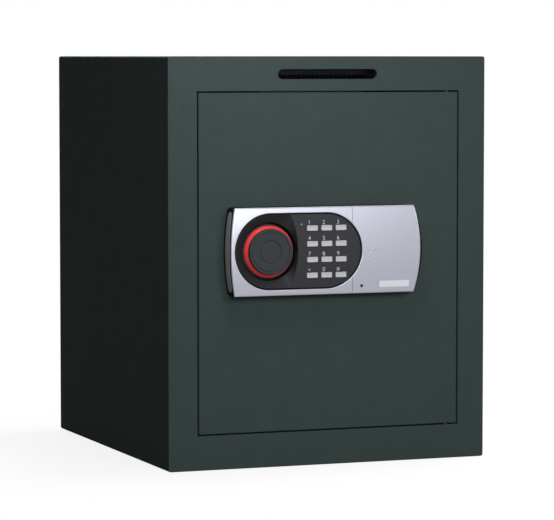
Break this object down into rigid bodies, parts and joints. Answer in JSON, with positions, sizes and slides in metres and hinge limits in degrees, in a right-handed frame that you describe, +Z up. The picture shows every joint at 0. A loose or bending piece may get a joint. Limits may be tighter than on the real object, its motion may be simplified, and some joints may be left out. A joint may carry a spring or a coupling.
{
  "type": "drop safe",
  "caption": "Steel drop safe with a deposit slot and chute in its front frame, a hinged door, and an electronic lock with keypad, bolt knob, sliding battery cover and override lock.",
  "frame": {"origin": "centre of the case's underside, on the surface that the safe stands on", "axes": "+Z up, -Y out of the front face, +X to the right as the front is looked at"},
  "size_m": [0.416, 0.4775, 0.5],
  "materials": {
    "green_paint": "fine textured powder coat",
    "silver_paint": "metallic silver paint on moulded plastic",
    "black_gloss": "glossy in the knob's funnel, matt round the keys",
    "black_plastic": "satin moulded",
    "red_plastic": "gloss",
    "key_plastic": "satin",
    "zinc_steel": "bright zinc plating",
    "dark_steel": "dull black",
    "brass": "machined",
    "grey_rubber": "matt",
    "board": "solder resist",
    "cell_jacket": "printed jacket, bare",
    "light_lens": "clear tinted",
    "coil_tape": "wound coil under tape"
  },
  "bodies": {
    "case": {"case_wrap": "green_paint", "back_panel": "green_paint", "anchor_plug_left": "grey_rubber", "anchor_plug_right": "grey_rubber", "front_frame": "green_paint", "door_jamb": "green_paint", "hinge_pin_upper": "zinc_steel", "hinge_pin_lower": "zinc_steel", "deposit_chute": "dark_steel", "anti_fish_baffle": "zinc_steel"},
    "door": {"door_plate": "green_paint", "door_inner_cover": "green_paint", "inner_cover_screw_1": "zinc_steel", "inner_cover_screw_2": "zinc_steel", "inner_cover_screw_3": "zinc_steel", "inner_cover_screw_4": "zinc_steel", "dead_bar": "zinc_steel", "guide_screw_lower": "dark_steel", "guide_screw_upper": "dark_steel", "solenoid_frame": "dark_steel", "solenoid_coil": "coil_tape", "lock_housing": "black_plastic", "face_plate": "silver_paint", "keypad_insert": "black_gloss", "key_mat": "grey_rubber", "circuit_board": "board", "status_led": "light_lens", "knob_bushing": "brass", "battery_tray": "black_plastic", "battery_cell_1": "cell_jacket", "battery_cell_2": "cell_jacket", "battery_cell_3": "cell_jacket", "battery_cell_4": "cell_jacket", "override_lock_body": "zinc_steel", "override_nut": "zinc_steel"},
    "knob_group": {"knob": "black_plastic", "knob_ring": "red_plastic", "knob_spindle": "zinc_steel", "drive_cam": "zinc_steel"},
    "bolt_work": {"bolt_carriage": "zinc_steel", "locking_bolt_lower": "zinc_steel", "locking_bolt_middle": "zinc_steel", "locking_bolt_upper": "zinc_steel"},
    "plunger": {"solenoid_plunger": "zinc_steel"},
    "battery_lid": {"battery_cover": "silver_paint", "battery_cover_screw": "dark_steel"},
    "override": {"override_plug": "brass", "override_cam": "zinc_steel"},
    "key_1_cap": {"key_1": "key_plastic"},
    "key_2_cap": {"key_2": "key_plastic"},
    "key_3_cap": {"key_3": "key_plastic"},
    "key_4_cap": {"key_4": "key_plastic"},
    "key_5_cap": {"key_5": "key_plastic"},
    "key_6_cap": {"key_6": "key_plastic"},
    "key_7_cap": {"key_7": "key_plastic"},
    "key_8_cap": {"key_8": "key_plastic"},
    "key_9_cap": {"key_9": "key_plastic"},
    "key_star_cap": {"key_star": "key_plastic"},
    "key_0_cap": {"key_0": "key_plastic"},
    "key_hash_cap": {"key_hash": "key_plastic"}
  },
  "joints": [
    {"name": "door_hinge", "type": "hinge", "parent": "case", "child": "door", "pos_m": [0.1573, -0.221, 0.25], "axis": [0, 0, 1], "range_deg": [0, 100]},
    {"name": "knob_turn", "type": "hinge", "parent": "door", "child": "knob_group", "pos_m": [-0.0864, -0.225, 0.265], "axis": [0, -1, 0], "range_deg": [0, 70]},
    {"name": "bolt_slide", "type": "slide", "parent": "door", "child": "bolt_work", "axis": [-1, 0, 0], "range_m": [0, 0.01377]},
    {"name": "plunger_slide", "type": "slide", "parent": "door", "child": "plunger", "axis": [0, 0, -1], "range_m": [0, 0.006]},
    {"name": "battery_cover_slide", "type": "slide", "parent": "door", "child": "battery_lid", "axis": [1, 0, 0], "range_m": [0, 0.035]},
    {"name": "override_turn", "type": "hinge", "parent": "door", "child": "override", "pos_m": [0.0391, -0.225, 0.3058], "axis": [0, -1, 0], "range_deg": [0, 90]},
    {"name": "key_1_press", "type": "slide", "parent": "door", "child": "key_1_cap", "axis": [0, 1, 0], "range_m": [0, 0.0008], "stiffness_N_per_m": 900},
    {"name": "key_2_press", "type": "slide", "parent": "door", "child": "key_2_cap", "axis": [0, 1, 0], "range_m": [0, 0.0008], "stiffness_N_per_m": 900},
    {"name": "key_3_press", "type": "slide", "parent": "door", "child": "key_3_cap", "axis": [0, 1, 0], "range_m": [0, 0.0008], "stiffness_N_per_m": 900},
    {"name": "key_4_press", "type": "slide", "parent": "door", "child": "key_4_cap", "axis": [0, 1, 0], "range_m": [0, 0.0008], "stiffness_N_per_m": 900},
    {"name": "key_5_press", "type": "slide", "parent": "door", "child": "key_5_cap", "axis": [0, 1, 0], "range_m": [0, 0.0008], "stiffness_N_per_m": 900},
    {"name": "key_6_press", "type": "slide", "parent": "door", "child": "key_6_cap", "axis": [0, 1, 0], "range_m": [0, 0.0008], "stiffness_N_per_m": 900},
    {"name": "key_7_press", "type": "slide", "parent": "door", "child": "key_7_cap", "axis": [0, 1, 0], "range_m": [0, 0.0008], "stiffness_N_per_m": 900},
    {"name": "key_8_press", "type": "slide", "parent": "door", "child": "key_8_cap", "axis": [0, 1, 0], "range_m": [0, 0.0008], "stiffness_N_per_m": 900},
    {"name": "key_9_press", "type": "slide", "parent": "door", "child": "key_9_cap", "axis": [0, 1, 0], "range_m": [0, 0.0008], "stiffness_N_per_m": 900},
    {"name": "key_star_press", "type": "slide", "parent": "door", "child": "key_star_cap", "axis": [0, 1, 0], "range_m": [0, 0.0008], "stiffness_N_per_m": 900},
    {"name": "key_0_press", "type": "slide", "parent": "door", "child": "key_0_cap", "axis": [0, 1, 0], "range_m": [0, 0.0008], "stiffness_N_per_m": 900},
    {"name": "key_hash_press", "type": "slide", "parent": "door", "child": "key_hash_cap", "axis": [0, 1, 0], "range_m": [0, 0.0008], "stiffness_N_per_m": 900}
  ],
  "couplings": [
    {"joint": "knob_turn", "follows": "bolt_slide", "rad_per_m": 88.751}
  ]
}
